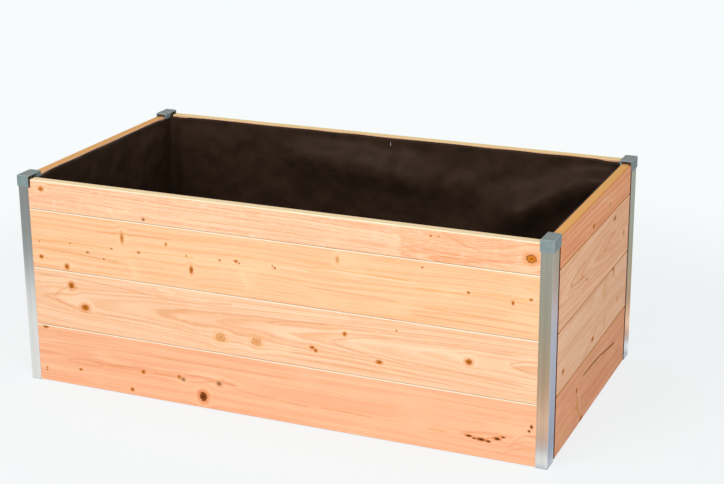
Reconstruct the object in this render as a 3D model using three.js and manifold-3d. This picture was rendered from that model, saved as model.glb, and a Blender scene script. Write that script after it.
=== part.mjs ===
import * as THREE from 'three';
import { mergeVertices } from 'three/addons/utils/BufferGeometryUtils.js';
import Module from 'manifold-3d';

// Raised garden bed: timber boards slotted into four metal corner posts, with a felt liner inside.
// Millimetres. X runs along the bed, Y across it, Z up. The origin is on the ground, in the middle.

// Whole bed
const bedLength = 1800; // over the outer faces of the posts
const bedWidth = 964; // over the outer faces of the posts
const footGap = 2; // the posts lift the boards off the ground

// Boards: full boards with a half board on top, tongued and grooved
const boardThickness = 32;
const fullBoardCover = 199.5; // height that a full board adds to the wall
const topBoardCover = 99.5; // height that the top board adds
const boardJointGap = 0.4; // open joint between two boards
const boardRecess = 0.3; // outer face of the boards behind the posts' outer faces
const edgeChamfer = 2; // eased edges along the two faces
const tongueWidth = 10; // the tongue along the middle of the upper edge
const tongueRise = 8;
const tongueTaper = 1.5;
const tongueClearance = 0.4; // groove to tongue, each side
const grooveSpareDepth = 1; // groove depth left over the tongue
const shadowGroove = 9; // the short boards' end rebates run this far past the posts' side legs

// Corner posts: one extruded section with two channels at right angles. The long boards enter the channel
// behind the front leg, and the short boards the channel behind the side leg.
const postWall = 2;
const postSideLeg = 62; // length across the bed
const slotClearance = 0.3; // board ends to the faces of their channels
const slotEndGap = 0.5; // board ends to the bottoms of their channels
const legEndGap = 0.6; // end of the front leg to the shoulder of the long boards

// Post caps
const capOverhang = 2.9; // proud of the post on the two outer sides
const capLengthX = 42.4;
const capLengthY = 75.9;
const capRise = 11; // top of the cap above the top of the boards
const capPlate = 3.5;
const capBevel = 1.2;
const capCornerRadius = 1.5;
const capSkirtDepth = 37; // outer skirts, from the top of the cap
const capLipDepth = 18; // lip on the inner corner, from the top of the cap
const capLipLength = 25; // of the lip along Y
const capLipWall = 2.3;
const capClearance = 0.4;

// The top boards are cut away at their ends, so that the caps go on over the posts
const capNotchMargin = 3; // past the caps, in the short boards
const capNotchDepth = 12;
const capSlotMargin = 6; // past the caps, at one end of the long boards
const capSlotDepth = 29;

// Countersunk screws through the posts' inner walls into the board ends
const screwLength = 24;
const screwRadius = 2.5;
const screwHeadRadius = 4.2;
const screwHeadDepth = 2.2;
const screwClearance = 0.3;
const screwSides = 8;

// Liner: one felt sheet round the inside, stapled to the boards
const linerThickness = 2;
const linerPostGap = 0.5; // to the posts' inner flanges
const linerCornerRadius = 14;
const linerTopDrop = 2; // below the top of the boards
const linerCornerDip = 9; // further drop of the edge under the inner lips of the caps
const linerFootGap = 6; // above the lower edge of the boards
const linerFlatTop = 45; // band under the edge that lies flat on the boards
const linerLongColumns = 27;
const linerShortColumns = 13;
const linerCornerColumns = 3;
const linerRows = 4; // below the flat band

// Folds of the liner. Each is a soft ridge along a line on one wall. along is measured from the middle
// of the wall, positive to the right when seen from inside, and down from the top edge of the liner.
const linerFolds = [
  { wall: 'back', from: [830, 40], to: [-60, 300], spread: 95, depth: 24 },
  { wall: 'back', from: [800, 150], to: [420, 560], spread: 80, depth: 26 },
  { wall: 'back', from: [-330, 30], to: [250, 110], spread: 70, depth: 12 },
  { wall: 'back', from: [-560, 160], to: [-420, 640], spread: 110, depth: 13 },
  { wall: 'front', from: [-700, 80], to: [100, 330], spread: 100, depth: 20 },
  { wall: 'front', from: [420, 120], to: [560, 640], spread: 90, depth: 18 },
  { wall: 'right', from: [-330, 90], to: [60, 420], spread: 85, depth: 20 },
  { wall: 'left', from: [300, 90], to: [-120, 400], spread: 90, depth: 18 },
];

// Staples, one near the middle of each long wall
const stapleCrown = 14;
const stapleWire = 1.5;
const stapleLeg = 9; // under the crown
const stapleDrop = 26; // from the top of the boards to the middle of the crown
const stapleShift = 27; // from the middle of the wall, to the right when seen from inside
const stapleClearance = 0.3;

// Making
const weldDistance = 1e-4;
const cutOver = 1; // cuts run this far past what they cut
const capCornerSteps = 3;
const linerFoldRise = 70; // the folds grow over this depth under the flat band

// Derived heights and places
const wallNames = ['front', 'right', 'back', 'left'];
const stapledWalls = ['front', 'back'];
const levelNames = ['bottom', 'lower', 'upper', 'top'];
const levelCovers = [fullBoardCover, fullBoardCover, fullBoardCover, topBoardCover];
const wallTop = footGap + levelCovers.reduce((sum, cover) => sum + cover, 0);
const capTop = wallTop + capRise;
const topLevel = levelNames.length - 1;
const boardInner = boardRecess + boardThickness; // inner face of the boards, from the posts' outer faces
const channelInner = boardInner + slotClearance; // near face of the posts' inner walls
const postInner = channelInner + postWall; // far face of the posts' inner walls
const postFrontLeg = postInner + postWall; // length along the bed
const rebateDepth = postWall + slotClearance - boardRecess;
const postHeight = capTop - capPlate - capClearance;
const liningLength = bedLength - 2 * boardInner;
const liningWidth = bedWidth - 2 * boardInner;
const linerGap = postInner - boardInner + linerPostGap; // to the boards
const linerTop = wallTop - linerTopDrop;
const linerFoot = footGap + linerFootGap;

const larch = new THREE.MeshStandardMaterial({ color: 0xe9b283, roughness: 0.62, metalness: 0 });
const extrudedMetal = new THREE.MeshStandardMaterial({ color: 0xb9bab8, roughness: 0.32, metalness: 1 });
const mouldedGrey = new THREE.MeshStandardMaterial({ color: 0x8b9a99, roughness: 0.5, metalness: 0 });
const brownFelt = new THREE.MeshStandardMaterial({ color: 0x46332b, roughness: 0.9, metalness: 0 });
const plainSteel = new THREE.MeshStandardMaterial({ color: 0xc9cbc8, roughness: 0.3, metalness: 1 });

const wasm = await Module();
wasm.setup();

// A closed geometry as a solid
function solid(geometry) {
  const bare = geometry.clone();
  bare.deleteAttribute('normal');
  bare.deleteAttribute('uv');
  const merged = mergeVertices(bare, weldDistance);
  const vertProperties = new Float32Array(merged.attributes.position.array);
  const triVerts = new Uint32Array(merged.index.array);
  return new wasm.Manifold(new wasm.Mesh({ numProp: 3, vertProperties, triVerts }));
}

// A solid as a geometry
function geometryOf(body) {
  const mesh = body.getMesh();
  const geometry = new THREE.BufferGeometry();
  geometry.setAttribute('position', new THREE.BufferAttribute(new Float32Array(mesh.vertProperties), 3));
  geometry.setIndex(new THREE.BufferAttribute(new Uint32Array(mesh.triVerts), 1));
  geometry.computeVertexNormals();
  return geometry;
}

function joined(bodies) {
  return bodies.reduce((sum, body) => sum.add(body));
}

function without(body, cuts) {
  return cuts.reduce((rest, cut) => rest.subtract(cut), body);
}

// A box from its lowest to its highest corner
function boxGeometry(low, high) {
  const geometry = new THREE.BoxGeometry(high[0] - low[0], high[1] - low[1], high[2] - low[2]);
  geometry.translate((low[0] + high[0]) / 2, (low[1] + high[1]) / 2, (low[2] + high[2]) / 2);
  return geometry;
}

function box(low, high) {
  return solid(boxGeometry(low, high));
}

// A plan outline raised from one height to another
function raised(shape, bottom, top) {
  const geometry = new THREE.ExtrudeGeometry(shape, { depth: top - bottom, bevelEnabled: false });
  geometry.translate(0, 0, bottom);
  return solid(geometry);
}

function outline(points) {
  return new THREE.Shape(points.map(([x, y]) => new THREE.Vector2(x, y)));
}

// A rectangle between two corner points, with rounded corners
function roundedRectangle(low, high, radius) {
  const points = [];
  const centres = [[high[0] - radius, high[1] - radius], [low[0] + radius, high[1] - radius],
    [low[0] + radius, low[1] + radius], [high[0] - radius, low[1] + radius]];
  centres.forEach(([x, y], corner) => {
    for (let step = 0; step <= capCornerSteps; step += 1) {
      const angle = (corner + step / capCornerSteps) * Math.PI / 2;
      points.push([x + radius * Math.cos(angle), y + radius * Math.sin(angle)]);
    }
  });
  return outline(points);
}

// A round bar that runs from the origin along -Y, with an optional wider start
function barGeometry(startRadius, endRadius, start, end) {
  const geometry = new THREE.CylinderGeometry(startRadius, endRadius, end - start, screwSides);
  return geometry.translate(0, -(start + end) / 2, 0);
}

// The shape of a countersunk screw with its head in the plane y = 0, pointing along -Y. room is added all
// round for a hole, which is also open past the head.
function screwShape(room, matrix) {
  const headRadius = screwHeadRadius + room;
  const shankRadius = screwRadius + room;
  const bars = [
    barGeometry(headRadius, shankRadius, 0, screwHeadDepth),
    barGeometry(shankRadius, shankRadius, screwHeadDepth / 2, screwLength + room),
  ];
  if (room > 0) {
    bars.push(barGeometry(headRadius, headRadius, -cutOver, 0));
  }
  return joined(bars.map((bar) => solid(bar.applyMatrix4(matrix))));
}

// Walls: each board is made with its outer face on y = 0 and then turned to its wall. slotSide is the end
// of a long top board that is cut away beside the cap.
const wallPlaces = {
  front: { x: 0, y: -bedWidth / 2 + boardRecess, turn: 0, span: bedLength, long: true, slotSide: -1 },
  right: { x: bedLength / 2 - boardRecess, y: 0, turn: Math.PI / 2, span: bedWidth, long: false },
  back: { x: 0, y: bedWidth / 2 - boardRecess, turn: Math.PI, span: bedLength, long: true, slotSide: 1 },
  left: { x: -bedLength / 2 + boardRecess, y: 0, turn: -Math.PI / 2, span: bedWidth, long: false },
};

// Corners: a post and its cap are made with the outer corner of the post at the origin, its front leg
// along +X and its side leg along +Y. Those of the other hand are mirrored before they are turned.
const cornerPlaces = {
  front_left: { x: -bedLength / 2, y: -bedWidth / 2, turn: 0, mirror: false },
  front_right: { x: bedLength / 2, y: -bedWidth / 2, turn: 0, mirror: true },
  back_right: { x: bedLength / 2, y: bedWidth / 2, turn: Math.PI, mirror: false },
  back_left: { x: -bedLength / 2, y: bedWidth / 2, turn: Math.PI, mirror: true },
};

// How far from the ends of a wall its screws stand: in the middle of the post wall that they pass through
function screwInset(long) {
  return long ? (postWall + postInner) / 2 : (postInner + postSideLeg) / 2;
}

function placeMatrix(place) {
  const matrix = new THREE.Matrix4().makeRotationZ(place.turn);
  return matrix.setPosition(place.x, place.y, 0);
}

// Lower edge of the board at a level
function levelBottom(level) {
  return footGap + levelCovers.slice(0, level).reduce((sum, cover) => sum + cover, 0);
}

// The screw at either end of a board stands in the middle of its height
function screwHeight(level) {
  return levelBottom(level) + levelCovers[level] / 2;
}

// Section of a board: across its thickness first, then up its height
function boardSection(cover, grooved, tongued) {
  const height = cover - boardJointGap;
  const grooveHalf = tongueWidth / 2 + tongueClearance;
  const grooveDepth = tongueRise - boardJointGap + grooveSpareDepth;
  const tongueHalf = tongueWidth / 2;
  const middle = boardThickness / 2;
  const points = [[edgeChamfer, 0]];
  if (grooved) {
    points.push([middle - grooveHalf, 0], [middle - grooveHalf, grooveDepth]);
    points.push([middle + grooveHalf, grooveDepth], [middle + grooveHalf, 0]);
  }
  points.push([boardThickness - edgeChamfer, 0], [boardThickness, edgeChamfer]);
  points.push([boardThickness, height - edgeChamfer], [boardThickness - edgeChamfer, height]);
  if (tongued) {
    points.push([middle + tongueHalf, height]);
    points.push([middle + tongueHalf, height + tongueRise - tongueTaper]);
    points.push([middle + tongueHalf - tongueTaper, height + tongueRise]);
    points.push([middle - tongueHalf + tongueTaper, height + tongueRise]);
    points.push([middle - tongueHalf, height + tongueRise - tongueTaper]);
    points.push([middle - tongueHalf, height]);
  }
  points.push([edgeChamfer, height], [0, height - edgeChamfer], [0, edgeChamfer]);
  return outline(points);
}

// Where the full thickness of a board and its rebated end stop, from the middle of the board
function boardEnds({ span, long }) {
  if (long) {
    return { shoulder: span / 2 - postFrontLeg - legEndGap, tip: span / 2 - postWall - slotEndGap };
  }
  return { shoulder: span / 2 - postSideLeg - shadowGroove, tip: span / 2 - postInner - slotEndGap };
}

// A box at one end of a board, from a place along it to past its tip
function endBox(place, side, start, low, high) {
  const end = boardEnds(place).tip + cutOver;
  const [near, far] = side > 0 ? [start, end] : [-end, -start];
  return box([near, ...low], [far, ...high]);
}

// The part of a top board that is cut away under a cap and beside it
function capNotch(place, side) {
  const reach = place.long ? capLengthX + capSlotMargin : capLengthY + capNotchMargin;
  const depth = place.long ? capSlotDepth : capNotchDepth;
  const top = levelCovers[topLevel] - boardJointGap;
  const start = place.span / 2 + capOverhang - reach;
  return endBox(place, side, start, [-cutOver, top - depth], [boardThickness + cutOver, top + cutOver]);
}

// The rebate on the outer face at one end of a board, the pilot hole in it and any notch for a cap
function boardEndCuts(place, level, side) {
  const reach = levelCovers[level] + tongueRise + cutOver;
  const cuts = [
    endBox(place, side, boardEnds(place).shoulder, [-cutOver, -cutOver], [rebateDepth, reach]),
    screwShape(screwClearance, screwMatrix(place, side, screwHeight(level) - levelBottom(level))),
  ];
  if (level === topLevel && (!place.long || side === place.slotSide)) {
    cuts.push(capNotch(place, side));
  }
  return cuts;
}

// From the frame of a screw to the frame of its wall
function screwMatrix(place, side, height) {
  const x = side * (place.span / 2 - screwInset(place.long));
  return new THREE.Matrix4().makeTranslation(x, postInner - boardRecess, height);
}

// The two legs of a staple, seen from a wall's own frame, with room around them
function stapleLegBoxes(room) {
  const inner = boardThickness + linerGap + linerThickness + stapleClearance;
  const half = stapleWire / 2 + room;
  return [-1, 1].map((end) => {
    const z = wallTop - stapleDrop + end * (stapleCrown - stapleWire) / 2;
    const low = [-stapleShift - half, inner - stapleLeg - room, z - half];
    return boxGeometry(low, [-stapleShift + half, inner + room, z + half]);
  });
}

// A board of one wall at one level, with its lower edge at z = 0
function makeBoard(wall, level) {
  const place = wallPlaces[wall];
  const { tip } = boardEnds(place);
  const section = boardSection(levelCovers[level], level > 0, level < topLevel);
  const blank = new THREE.ExtrudeGeometry(section, { depth: 2 * tip, bevelEnabled: false });
  blank.rotateX(Math.PI / 2);
  blank.rotateZ(Math.PI / 2);
  blank.translate(-tip, 0, 0);
  const cuts = [-1, 1].flatMap((side) => boardEndCuts(place, level, side));
  if (level === topLevel && stapledWalls.includes(wall)) {
    for (const leg of stapleLegBoxes(stapleClearance)) {
      cuts.push(solid(leg.translate(0, 0, -levelBottom(level))));
    }
  }
  return without(solid(blank), cuts);
}

// A corner post: front leg, side leg and the two inner walls, with countersunk holes for the screws
function makePost() {
  const section = outline([[0, 0], [postFrontLeg, 0], [postFrontLeg, postWall], [postWall, postWall],
    [postWall, channelInner], [postFrontLeg, channelInner], [postFrontLeg, postInner],
    [postInner, postInner], [postInner, postSideLeg], [channelInner, postSideLeg],
    [channelInner, postInner], [postWall, postInner], [postWall, postSideLeg], [0, postSideLeg]]);
  const holes = levelNames.flatMap((name, level) => {
    const height = screwHeight(level);
    const intoLong = new THREE.Matrix4().makeTranslation(screwInset(true), postInner, height);
    const intoShort = new THREE.Matrix4().makeRotationZ(-Math.PI / 2);
    intoShort.setPosition(postInner, screwInset(false), height);
    return [screwShape(screwClearance, intoLong), screwShape(screwClearance, intoShort)];
  });
  return without(raised(section, 0, postHeight), holes);
}

// The screw at one end of a board, in the wall's own frame
function makeScrew(wall, level, side) {
  return screwShape(0, screwMatrix(wallPlaces[wall], side, screwHeight(level)));
}

// A cap: a bevelled plate with two outer skirts that grip the post's legs, a hook behind the end of the
// side leg and a lip on the inner corner. It is open where the boards pass under it.
function makeCap() {
  const low = -capOverhang;
  const highX = capLengthX - capOverhang;
  const highY = capLengthY - capOverhang;
  const skirtBottom = capTop - capSkirtDepth;
  const under = capTop - capPlate;
  const joint = under + capPlate / 3; // the inner parts reach this far up into the plate
  const plan = roundedRectangle([low, low], [highX, highY], capCornerRadius);
  const shell = new THREE.ExtrudeGeometry(plan, {
    depth: capSkirtDepth - capBevel,
    bevelEnabled: true,
    bevelThickness: capBevel,
    bevelSize: capBevel,
    bevelOffset: -capBevel,
    bevelSegments: 1,
  });
  shell.translate(0, 0, skirtBottom);
  const trimmed = without(solid(shell), [
    box([low - cutOver, low - cutOver, skirtBottom - 2 * capBevel],
      [highX + cutOver, highY + cutOver, skirtBottom]),
    box([-capClearance, -capClearance, skirtBottom - cutOver], [highX + cutOver, highY + cutOver, under]),
  ]);
  const hookStart = postSideLeg + capClearance;
  const hookEnd = postSideLeg + shadowGroove - capClearance;
  const hookDepth = boardRecess + rebateDepth - capClearance;
  const lipBottom = capTop - capLipDepth;
  const inner = joined([
    box([low + capClearance, hookStart, skirtBottom], [hookDepth, hookEnd, joint]),
    box([highX - capLipWall, highY - capLipLength, lipBottom], [highX, highY, joint]),
    box([boardInner + capClearance, highY - capLipWall, lipBottom], [highX, highY, joint]),
  ]);
  return trimmed.add(inner.intersect(raised(plan, skirtBottom, joint)));
}

// Columns of the liner: points on its outer face round the walls, with the way inwards, the distance
// round the liner, and whether they lie in a corner
function linerColumns() {
  const walls = [
    { length: liningLength, count: linerLongColumns, turn: 0, offset: liningWidth / 2 },
    { length: liningWidth, count: linerShortColumns, turn: Math.PI / 2, offset: liningLength / 2 },
    { length: liningLength, count: linerLongColumns, turn: Math.PI, offset: liningWidth / 2 },
    { length: liningWidth, count: linerShortColumns, turn: Math.PI * 1.5, offset: liningLength / 2 },
  ];
  const columns = [];
  let start = 0;
  for (const { length, count, turn, offset } of walls) {
    const straight = length / 2 - linerGap - linerCornerRadius;
    const face = offset - linerGap;
    const add = (x, y, angle, round, corner) => columns.push({
      x: x * Math.cos(turn) - y * Math.sin(turn),
      y: x * Math.sin(turn) + y * Math.cos(turn),
      inX: -Math.sin(turn + angle),
      inY: Math.cos(turn + angle),
      round: start + length / 2 + round,
      corner,
    });
    for (let i = 0; i < count; i += 1) {
      const x = straight * (2 * i / (count - 1) - 1);
      add(x, -face, 0, x, i === 0 || i === count - 1);
    }
    for (let i = 1; i <= linerCornerColumns; i += 1) {
      const share = i / (linerCornerColumns + 1);
      const angle = share * Math.PI / 2;
      const x = straight + linerCornerRadius * Math.sin(angle);
      const y = -face + linerCornerRadius * (1 - Math.cos(angle));
      add(x, y, angle, straight + (length - 2 * straight) * share, true);
    }
    start += length;
  }
  return columns;
}

// Middle of each wall as a distance round the liner
const wallMiddles = {
  front: liningLength / 2,
  right: liningLength + liningWidth / 2,
  back: liningLength * 1.5 + liningWidth,
  left: liningLength * 2 + liningWidth * 1.5,
};

// How far the liner stands off the boards at a place round the bed and a depth under its top edge
function foldDepth(round, drop) {
  const whole = 2 * (liningLength + liningWidth);
  const eased = Math.min(Math.max((drop - linerFlatTop) / linerFoldRise, 0), 1);
  let depth = 0;
  for (const fold of linerFolds) {
    const gap = wallMiddles[fold.wall] - round;
    const along = gap - whole * Math.round(gap / whole);
    const runX = fold.to[0] - fold.from[0];
    const runY = fold.to[1] - fold.from[1];
    const share = ((along - fold.from[0]) * runX + (drop - fold.from[1]) * runY) / (runX ** 2 + runY ** 2);
    const held = Math.min(Math.max(share, 0), 1);
    const away = Math.hypot(along - fold.from[0] - held * runX, drop - fold.from[1] - held * runY);
    depth += fold.depth * Math.exp(-((away / fold.spread) ** 2));
  }
  return depth * eased;
}

// The liner: a ring of sheet with an outer and an inner face, closed along its two edges
function makeLiner() {
  const columns = linerColumns();
  const drops = [0];
  for (let i = 0; i <= linerRows; i += 1) {
    drops.push(linerFlatTop + (linerTop - linerFoot - linerFlatTop) * i / linerRows);
  }
  const points = [];
  for (const inward of [0, linerThickness]) {
    for (const drop of drops) {
      for (const { x, y, inX, inY, round, corner } of columns) {
        const off = inward + foldDepth(round, drop);
        const dip = drop === 0 && corner ? linerCornerDip : 0;
        points.push(x + inX * off, y + inY * off, linerTop - drop - dip);
      }
    }
  }
  const at = (face, row, column) => (face * drops.length + row) * columns.length + column % columns.length;
  const index = [];
  const quad = (a, b, c, d) => index.push(a, b, c, a, c, d);
  const foot = drops.length - 1;
  for (let i = 0; i < columns.length; i += 1) {
    for (let row = 0; row < foot; row += 1) {
      quad(at(0, row, i), at(0, row + 1, i), at(0, row + 1, i + 1), at(0, row, i + 1));
      quad(at(1, row, i), at(1, row, i + 1), at(1, row + 1, i + 1), at(1, row + 1, i));
    }
    quad(at(0, 0, i), at(0, 0, i + 1), at(1, 0, i + 1), at(1, 0, i));
    quad(at(0, foot, i), at(1, foot, i), at(1, foot, i + 1), at(0, foot, i + 1));
  }
  const geometry = new THREE.BufferGeometry();
  geometry.setAttribute('position', new THREE.BufferAttribute(new Float32Array(points), 3));
  geometry.setIndex(index);
  const holes = stapledWalls.flatMap((wall) => stapleLegBoxes(stapleClearance)
    .map((leg) => solid(leg.applyMatrix4(placeMatrix(wallPlaces[wall])))));
  return without(solid(geometry), holes);
}

// A staple with its crown upright over the liner, in a wall's own frame
function makeStaple() {
  const seat = boardThickness + linerGap + linerThickness + stapleClearance;
  const half = stapleCrown / 2;
  const shape = outline([[seat - stapleLeg, -half], [seat + stapleWire, -half], [seat + stapleWire, half],
    [seat - stapleLeg, half], [seat - stapleLeg, half - stapleWire], [seat, half - stapleWire],
    [seat, stapleWire - half], [seat - stapleLeg, stapleWire - half]]);
  const geometry = new THREE.ExtrudeGeometry(shape, { depth: stapleWire, bevelEnabled: false });
  geometry.rotateX(Math.PI / 2);
  geometry.rotateZ(Math.PI / 2);
  geometry.translate(-stapleShift - stapleWire / 2, 0, wallTop - stapleDrop);
  return solid(geometry);
}

// The same shape for the other hand
function mirrored(geometry) {
  const copy = geometry.clone().scale(-1, 1, 1);
  const index = copy.index.array;
  for (let i = 0; i < index.length; i += 3) {
    [index[i + 1], index[i + 2]] = [index[i + 2], index[i + 1]];
  }
  return copy;
}

const group = new THREE.Group();

function addMesh(name, geometry, material, place) {
  const mesh = new THREE.Mesh(geometry, material.clone());
  mesh.name = name;
  mesh.position.set(place.x, place.y, place.z ?? 0);
  mesh.rotation.z = place.turn;
  group.add(mesh);
}

for (const wall of wallNames) {
  const place = wallPlaces[wall];
  levelNames.forEach((levelName, level) => {
    const board = geometryOf(makeBoard(wall, level));
    addMesh(`${wall}_board_${levelName}`, board, larch, { ...place, z: levelBottom(level) });
    for (const [sideName, side] of [['left', -1], ['right', 1]]) {
      const screw = geometryOf(makeScrew(wall, level, side));
      addMesh(`${wall}_screw_${levelName}_${sideName}`, screw, plainSteel, place);
    }
  });
}

const post = geometryOf(makePost());
const cap = geometryOf(makeCap());
for (const [corner, place] of Object.entries(cornerPlaces)) {
  addMesh(`${corner}_post`, place.mirror ? mirrored(post) : post.clone(), extrudedMetal, place);
  addMesh(`${corner}_post_cap`, place.mirror ? mirrored(cap) : cap.clone(), mouldedGrey, place);
}

addMesh('liner', geometryOf(makeLiner()), brownFelt, { x: 0, y: 0, turn: 0 });
for (const wall of stapledWalls) {
  addMesh(`${wall}_liner_staple`, geometryOf(makeStaple()), plainSteel, wallPlaces[wall]);
}

export default group;
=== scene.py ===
import math

import bpy
import numpy as np
from mathutils import Matrix, Vector


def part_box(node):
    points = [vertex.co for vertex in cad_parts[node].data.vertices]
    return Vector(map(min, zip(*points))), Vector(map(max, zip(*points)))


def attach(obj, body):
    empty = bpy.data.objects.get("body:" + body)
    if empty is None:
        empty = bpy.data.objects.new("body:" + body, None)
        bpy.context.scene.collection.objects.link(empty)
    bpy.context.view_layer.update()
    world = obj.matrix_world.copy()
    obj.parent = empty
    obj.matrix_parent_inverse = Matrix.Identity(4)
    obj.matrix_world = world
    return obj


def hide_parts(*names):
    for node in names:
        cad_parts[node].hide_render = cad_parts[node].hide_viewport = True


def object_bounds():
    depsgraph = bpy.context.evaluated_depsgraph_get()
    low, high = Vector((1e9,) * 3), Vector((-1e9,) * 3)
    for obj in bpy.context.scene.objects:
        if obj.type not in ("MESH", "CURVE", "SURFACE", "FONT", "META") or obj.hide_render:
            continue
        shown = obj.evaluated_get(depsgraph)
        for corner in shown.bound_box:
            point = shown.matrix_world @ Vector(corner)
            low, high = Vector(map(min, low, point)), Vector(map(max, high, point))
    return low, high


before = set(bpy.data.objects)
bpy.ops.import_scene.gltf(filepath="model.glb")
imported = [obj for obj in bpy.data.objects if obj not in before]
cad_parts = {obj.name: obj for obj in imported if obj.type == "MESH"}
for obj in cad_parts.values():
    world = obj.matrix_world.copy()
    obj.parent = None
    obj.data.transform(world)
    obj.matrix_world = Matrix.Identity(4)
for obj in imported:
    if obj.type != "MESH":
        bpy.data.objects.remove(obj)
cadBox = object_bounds()
print("frame loaded")

camera = {
    "place": (2.08636, -4.60301, 2.13579),
    "azimuth": 23.278,
    "elevation": 16.969,
    "roll": -0.397,
    "focalPixels": 1594.8,  # on a picture of pictureWidth
    "riseShift": -0.0594,  # the photograph's frame lies this far below the lens axis, in widths
    "pictureWidth": 724,
    "sensor": 36.0,
    "farthest": 200.0,
}


def placeCamera(spec):
    data = bpy.data.cameras.new("camera")
    data.sensor_width = spec["sensor"]
    data.lens = spec["focalPixels"] / spec["pictureWidth"] * spec["sensor"]
    data.shift_y = spec["riseShift"]
    data.clip_end = spec["farthest"]
    viewer = bpy.data.objects.new("camera", data)
    viewer.location = spec["place"]
    turn = Matrix.Rotation(math.radians(spec["azimuth"]), 3, "Z")
    tilt = Matrix.Rotation(math.radians(90 - spec["elevation"]), 3, "X")
    roll = Matrix.Rotation(math.radians(spec["roll"]), 3, "Z")
    viewer.rotation_euler = (turn @ tilt @ roll).to_euler()
    bpy.context.collection.objects.link(viewer)
    bpy.context.scene.camera = viewer


placeCamera(camera)
bpy.context.scene.view_settings.view_transform = "Standard"
print("camera placed")


# A colour as it is seen on screen, 0 to 255, turned into linear light
def tone(red, green, blue):
    shares = (red / 255, green / 255, blue / 255)
    linear = [c / 12.92 if c <= 0.04045 else ((c + 0.055) / 1.055) ** 2.4 for c in shares]
    return (*linear, 1.0)


# One output of a node. Sums and products of signals add Math nodes.
class Signal:
    def __init__(self, graph, socket):
        self.graph = graph
        self.socket = socket

    def calc(self, operation, *others):
        return self.graph.add("ShaderNodeMath", {"operation": operation}, [self, *others])

    def __add__(self, other):
        return self.calc("ADD", other)

    def __sub__(self, other):
        return self.calc("SUBTRACT", other)

    def __mul__(self, other):
        return self.calc("MULTIPLY", other)

    def __truediv__(self, other):
        return self.calc("DIVIDE", other)

    def __neg__(self):
        return self.calc("MULTIPLY", -1.0)

    def __radd__(self, other):
        return self.calc("ADD", other)

    def __rmul__(self, other):
        return self.calc("MULTIPLY", other)

    def __rsub__(self, other):
        return self.graph.add("ShaderNodeMath", {"operation": "SUBTRACT"}, [other, self])

    def output(self, name):
        return Signal(self.graph, self.socket.node.outputs[name])

    def size(self):
        return self.calc("ABSOLUTE")

    def held(self):
        return self.calc("MAXIMUM", 0.0).calc("MINIMUM", 1.0)

    # 0 below low, 1 above high and a smooth rise between; a falling edge has low above high
    def edge(self, low, high):
        if low > high:
            return 1 - self.edge(high, low)
        settings = {"interpolation_type": "SMOOTHSTEP"}
        return self.graph.add("ShaderNodeMapRange", settings, [self, low, high, 0.0, 1.0])

    # how much of a noise shows, from where it begins to where it is full
    def shown(self, begins, full, share):
        return self.edge(begins, full) * share

    def wave(self, length, height):
        return (self * (2 * math.pi / length)).calc("SINE") * height


# How far a point lies from where both signals are 0
def distance(first, second):
    return (first * first + second * second).calc("SQRT")


# The nodes of one material or of the world
class Graph:
    def __init__(self, tree):
        self.tree = tree
        tree.nodes.clear()

    def add(self, kind, settings, sockets):
        node = self.tree.nodes.new(kind)
        for name, value in settings.items():
            if name == "stops":
                self.fillRamp(node.color_ramp, value)
            else:
                setattr(node, name, value)
        pairs = sockets.items() if isinstance(sockets, dict) else enumerate(sockets)
        for name, value in pairs:
            if isinstance(value, Signal):
                self.tree.links.new(value.socket, node.inputs[name])
            elif value is not None:
                node.inputs[name].default_value = value
        return Signal(self, node.outputs[0]) if node.outputs else None

    def fillRamp(self, ramp, stops):
        while len(ramp.elements) < len(stops):
            ramp.elements.new(1.0)
        for element, (place, colour) in zip(ramp.elements, stops):
            element.position = place
            element.color = tone(*colour)

    # sockets 6 and 7 and output 2 of a Mix node are its colours
    def mix(self, factor, first, second):
        settings = {"data_type": "RGBA", "clamp_factor": True}
        node = self.add("ShaderNodeMix", settings, {0: factor, 6: first, 7: second})
        return Signal(self, node.socket.node.outputs[2])

    def vector(self, x, y, z):
        return self.add("ShaderNodeCombineXYZ", {}, [x, y, z])

    def noise(self, place, detail, roughness=0.5, distortion=0.0):
        sockets = {"Vector": place, "Scale": 1.0, "Detail": detail, "Roughness": roughness,
                   "Distortion": distortion}
        return self.add("ShaderNodeTexNoise", {}, sockets)

    # noise drawn out to the given lengths along the three parts of a place, and moved by seeds
    def grain(self, place, lengths, detail, roughness=0.5, distortion=0.0, seeds=(0.0, 0.0, 0.0)):
        parts = [value / length + seed if seed else value / length
                 for value, length, seed in zip(place, lengths, seeds)]
        return self.noise(self.vector(*parts), detail, roughness, distortion)

    # Object coordinates in millimetres
    def millimetres(self):
        place = self.add("ShaderNodeTexCoord", {}, []).output("Object")
        place = self.add("ShaderNodeVectorMath", {"operation": "SCALE"}, {0: place, "Scale": 1000.0})
        parts = self.add("ShaderNodeSeparateXYZ", {}, [place])
        return parts.output("X"), parts.output("Y"), parts.output("Z")

    def bump(self, height, strength, depth):
        return self.add("ShaderNodeBump", {}, {"Strength": strength, "Distance": depth, "Height": height})

    def surface(self, sockets):
        shader = self.add("ShaderNodeBsdfPrincipled", {}, sockets)
        self.add("ShaderNodeOutputMaterial", {}, [shader])


def newMaterial(name):
    material = bpy.data.materials.new(name)
    material.use_nodes = True
    return material, Graph(material.node_tree)


def dress(piece, material):
    piece.data.materials.clear()
    piece.data.materials.append(material)


# Larch, in millimetres, apart from bumpHeight, which is in metres here and below. Each wall says how its
# boards are seen from outside: along runs to the right, depth goes in from the outer face, and height goes
# up from the board's lower edge.
faceX = 1000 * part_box("right_board_bottom")[1][0]
faceY = 1000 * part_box("back_board_bottom")[1][1]
wallViews = {
    "front": lambda x, y: (x, y + faceY),
    "right": lambda x, y: (y, faceX - x),
    "back": lambda x, y: (-x, faceY - y),
    "left": lambda x, y: (-y, x + faceX),
}
levels = ["bottom", "lower", "upper", "top"]

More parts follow.
